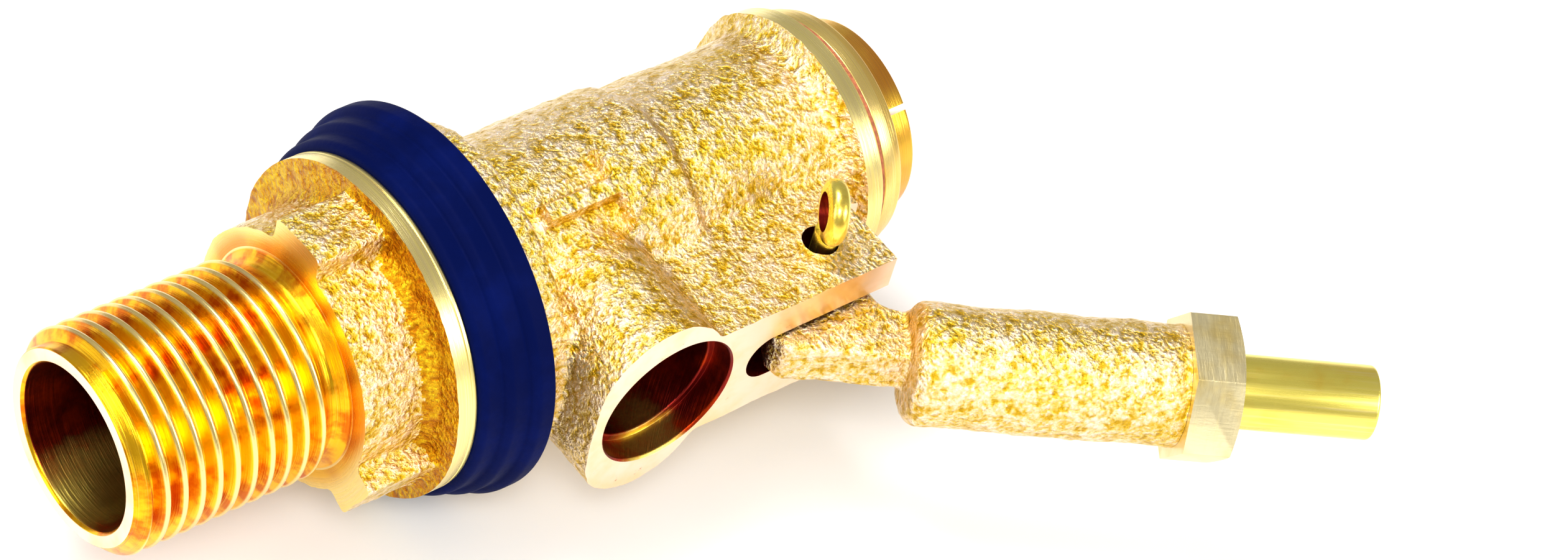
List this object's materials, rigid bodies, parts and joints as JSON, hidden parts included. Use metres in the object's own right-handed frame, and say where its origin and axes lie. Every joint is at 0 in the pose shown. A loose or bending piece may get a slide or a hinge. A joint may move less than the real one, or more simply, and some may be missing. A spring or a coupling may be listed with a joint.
{
  "type": "float valve",
  "caption": "Cast brass float valve: threaded inlet tail, sealing ring, barrel with sliding plunger, side outlet, pivoted lever and screwed float rod.",
  "frame": {"origin": "centre of the turned face that the inlet thread runs up to, on the axis of the water way", "axes": "+X along the water way from the inlet to the end cap, -Y the way the outlet faces (down, once fitted in a tank), +Z along the lever pin towards its eye (up, as the loose valve lies on its side)"},
  "size_m": [0.1113, 0.0732, 0.037],
  "materials": {
    "turned_brass": "turned, bright, fine tool lines",
    "cast_brass": "sand cast, grainy, unpolished",
    "brass_wire": "drawn wire, bright",
    "nut_brass": "machined, scratched",
    "rod_brass": "drawn bar, bright",
    "rubber": "moulded, matt, very dark blue",
    "fibre": "compressed fibre, matt"
  },
  "bodies": {
    "root": {"inlet_tail": "turned_brass", "sealing_ring": "rubber", "seat_joint": "fibre", "seat_nozzle": "turned_brass", "valve_body": "cast_brass", "cap_joint": "fibre", "end_cap": "turned_brass", "split_pin": "brass_wire"},
    "lever_arm": {"lever": "cast_brass", "lock_nut": "nut_brass", "float_rod": "rod_brass"},
    "plunger_set": {"plunger": "turned_brass", "plunger_washer": "rubber", "washer_cap": "turned_brass"}
  },
  "joints": [
    {"name": "lever_hinge", "type": "hinge", "parent": "root", "child": "lever_arm", "pos_m": [0.048, -0.0154, 0], "axis": [0, 0, 1], "range_deg": [0, 30]},
    {"name": "plunger_slide", "type": "slide", "parent": "root", "child": "plunger_set", "axis": [-1, 0, 0], "range_m": [0, 0.00722]}
  ],
  "couplings": [
    {"joint": "plunger_slide", "follows": "lever_hinge", "m_per_rad": 0.013787}
  ]
}
